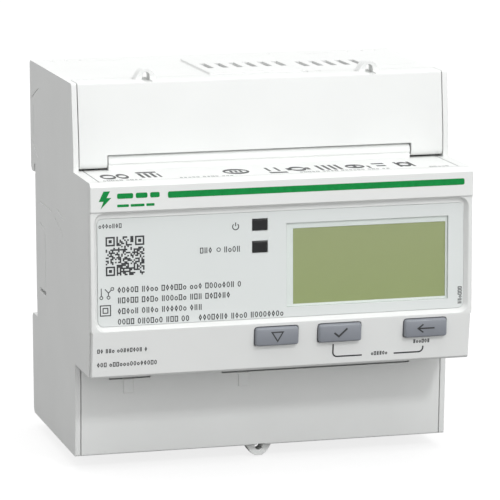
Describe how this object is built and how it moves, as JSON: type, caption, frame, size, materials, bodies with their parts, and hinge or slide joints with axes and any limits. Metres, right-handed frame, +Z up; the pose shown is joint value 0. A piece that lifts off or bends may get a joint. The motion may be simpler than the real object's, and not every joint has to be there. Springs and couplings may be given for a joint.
{
  "type": "three-phase smart electric meter",
  "caption": "Rail-mounted three-phase smart electric meter with an LCD, keys, hinged sealable terminal covers and screw-clamp terminals.",
  "frame": {"origin": "middle of the seat that bears on the mounting rail, half way across the width and on the rail's centre line", "axes": "+X across the width, to the right seen from the front; +Y backwards into the rail; -Y the front; +Z up"},
  "size_m": [0.09, 0.07, 0.0928],
  "materials": {
    "black_plastic": "moulded component case",
    "blue_epoxy": "dipped or moulded blue epoxy",
    "board": "green solder mask",
    "clear_plastic": "clear window",
    "copper": "rolled copper bar",
    "ferrite": "wound transformer in dark tape",
    "grey_plastic": "moulded, light texture",
    "key_plastic": "blue-grey moulded key",
    "lcd_glass": "olive reflective display",
    "light_guide": "milky light guide",
    "panel_plastic": "printed polycarbonate sheet",
    "smoked_plastic": "dark tinted lens",
    "spring_steel": "drawn wire",
    "white_plastic": "fine-grained white moulding",
    "zinc_steel": "zinc-plated"
  },
  "bodies": {
    "meter": {"board_connector": "black_plastic", "busbar_l1": "copper", "busbar_l2": "copper", "busbar_l3": "copper", "busbar_n": "copper", "current_transformer_l1": "blue_epoxy", "current_transformer_l2": "blue_epoxy", "current_transformer_l3": "blue_epoxy", "display_board": "board", "display_window": "clear_plastic", "front_frame": "white_plastic", "front_panel": "panel_plastic", "housing": "white_plastic", "input_capacitor": "black_plastic", "latch_spring": "spring_steel", "lcd_backlight": "light_guide", "lcd_panel": "lcd_glass", "lower_shroud": "grey_plastic", "main_board": "board", "metering_chip": "black_plastic", "output_capacitor": "black_plastic", "pulse_led": "light_guide", "pulse_lens": "smoked_plastic", "status_led": "light_guide", "status_lens": "smoked_plastic", "supply_transformer": "ferrite", "surge_varistor": "blue_epoxy", "switch_down": "black_plastic", "switch_esc": "black_plastic", "switch_ok": "black_plastic", "upper_shroud": "grey_plastic"},
    "key_down": {"button_down": "key_plastic", "plunger_down": "grey_plastic"},
    "key_ok": {"button_ok": "key_plastic", "plunger_ok": "grey_plastic"},
    "key_esc": {"button_esc": "key_plastic", "plunger_esc": "grey_plastic"},
    "upper_cover": {"upper_cover": "white_plastic"},
    "lower_cover": {"lower_cover": "white_plastic"},
    "rail_latch": {"rail_latch": "grey_plastic"},
    "screw_top_l1": {"screw_top_l1": "zinc_steel"},
    "clamp_top_l1": {"clamp_top_l1": "zinc_steel"},
    "screw_top_l2": {"screw_top_l2": "zinc_steel"},
    "clamp_top_l2": {"clamp_top_l2": "zinc_steel"},
    "screw_top_l3": {"screw_top_l3": "zinc_steel"},
    "clamp_top_l3": {"clamp_top_l3": "zinc_steel"},
    "screw_top_n": {"screw_top_n": "zinc_steel"},
    "clamp_top_n": {"clamp_top_n": "zinc_steel"},
    "screw_bottom_l1": {"screw_bottom_l1": "zinc_steel"},
    "clamp_bottom_l1": {"clamp_bottom_l1": "zinc_steel"},
    "screw_bottom_l2": {"screw_bottom_l2": "zinc_steel"},
    "clamp_bottom_l2": {"clamp_bottom_l2": "zinc_steel"},
    "screw_bottom_l3": {"screw_bottom_l3": "zinc_steel"},
    "clamp_bottom_l3": {"clamp_bottom_l3": "zinc_steel"},
    "screw_bottom_n": {"screw_bottom_n": "zinc_steel"},
    "clamp_bottom_n": {"clamp_bottom_n": "zinc_steel"}
  },
  "joints": [
    {"name": "press_down", "type": "slide", "parent": "meter", "child": "key_down", "axis": [0, 1, 0], "range_m": [0, 0.0005]},
    {"name": "press_ok", "type": "slide", "parent": "meter", "child": "key_ok", "axis": [0, 1, 0], "range_m": [0, 0.0005]},
    {"name": "press_esc", "type": "slide", "parent": "meter", "child": "key_esc", "axis": [0, 1, 0], "range_m": [0, 0.0005]},
    {"name": "upper_cover_hinge", "type": "hinge", "parent": "meter", "child": "upper_cover", "pos_m": [0, -0.0438, 0.0245], "axis": [1, 0, 0], "range_deg": [0, 90]},
    {"name": "lower_cover_hinge", "type": "hinge", "parent": "meter", "child": "lower_cover", "pos_m": [0, -0.0427, -0.0245], "axis": [-1, 0, 0], "range_deg": [0, 90]},
    {"name": "latch_slide", "type": "slide", "parent": "meter", "child": "rail_latch", "axis": [0, 0, -1], "range_m": [0, 0.004], "stiffness_N_per_m": 300, "springref_m": -0.004, "deforming": ["latch_spring"]},
    {"name": "turn_top_l1", "type": "hinge", "parent": "meter", "child": "screw_top_l1", "pos_m": [-0.03, -0.0398, 0.031], "axis": [0, 1, 0], "range_deg": [0, 3600.1]},
    {"name": "draw_top_l1", "type": "slide", "parent": "meter", "child": "clamp_top_l1", "axis": [0, -1, 0], "range_m": [0, 0.008]},
    {"name": "turn_top_l2", "type": "hinge", "parent": "meter", "child": "screw_top_l2", "pos_m": [-0.01, -0.0398, 0.031], "axis": [0, 1, 0], "range_deg": [0, 3600.1]},
    {"name": "draw_top_l2", "type": "slide", "parent": "meter", "child": "clamp_top_l2", "axis": [0, -1, 0], "range_m": [0, 0.008]},
    {"name": "turn_top_l3", "type": "hinge", "parent": "meter", "child": "screw_top_l3", "pos_m": [0.01, -0.0398, 0.031], "axis": [0, 1, 0], "range_deg": [0, 3600.1]},
    {"name": "draw_top_l3", "type": "slide", "parent": "meter", "child": "clamp_top_l3", "axis": [0, -1, 0], "range_m": [0, 0.008]},
    {"name": "turn_top_n", "type": "hinge", "parent": "meter", "child": "screw_top_n", "pos_m": [0.03, -0.0398, 0.031], "axis": [0, 1, 0], "range_deg": [0, 3600.1]},
    {"name": "draw_top_n", "type": "slide", "parent": "meter", "child": "clamp_top_n", "axis": [0, -1, 0], "range_m": [0, 0.008]},
    {"name": "turn_bottom_l1", "type": "hinge", "parent": "meter", "child": "screw_bottom_l1", "pos_m": [-0.03, -0.0398, -0.031], "axis": [0, 1, 0], "range_deg": [0, 3600.1]},
    {"name": "draw_bottom_l1", "type": "slide", "parent": "meter", "child": "clamp_bottom_l1", "axis": [0, -1, 0], "range_m": [0, 0.008]},
    {"name": "turn_bottom_l2", "type": "hinge", "parent": "meter", "child": "screw_bottom_l2", "pos_m": [-0.01, -0.0398, -0.031], "axis": [0, 1, 0], "range_deg": [0, 3600.1]},
    {"name": "draw_bottom_l2", "type": "slide", "parent": "meter", "child": "clamp_bottom_l2", "axis": [0, -1, 0], "range_m": [0, 0.008]},
    {"name": "turn_bottom_l3", "type": "hinge", "parent": "meter", "child": "screw_bottom_l3", "pos_m": [0.01, -0.0398, -0.031], "axis": [0, 1, 0], "range_deg": [0, 3600.1]},
    {"name": "draw_bottom_l3", "type": "slide", "parent": "meter", "child": "clamp_bottom_l3", "axis": [0, -1, 0], "range_m": [0, 0.008]},
    {"name": "turn_bottom_n", "type": "hinge", "parent": "meter", "child": "screw_bottom_n", "pos_m": [0.03, -0.0398, -0.031], "axis": [0, 1, 0], "range_deg": [0, 3600.1]},
    {"name": "draw_bottom_n", "type": "slide", "parent": "meter", "child": "clamp_bottom_n", "axis": [0, -1, 0], "range_m": [0, 0.008]}
  ],
  "couplings": [
    {"joint": "turn_top_l1", "follows": "draw_top_l1", "rad_per_m": 7854},
    {"joint": "turn_top_l2", "follows": "draw_top_l2", "rad_per_m": 7854},
    {"joint": "turn_top_l3", "follows": "draw_top_l3", "rad_per_m": 7854},
    {"joint": "turn_top_n", "follows": "draw_top_n", "rad_per_m": 7854},
    {"joint": "turn_bottom_l1", "follows": "draw_bottom_l1", "rad_per_m": 7854},
    {"joint": "turn_bottom_l2", "follows": "draw_bottom_l2", "rad_per_m": 7854},
    {"joint": "turn_bottom_l3", "follows": "draw_bottom_l3", "rad_per_m": 7854},
    {"joint": "turn_bottom_n", "follows": "draw_bottom_n", "rad_per_m": 7854}
  ]
}
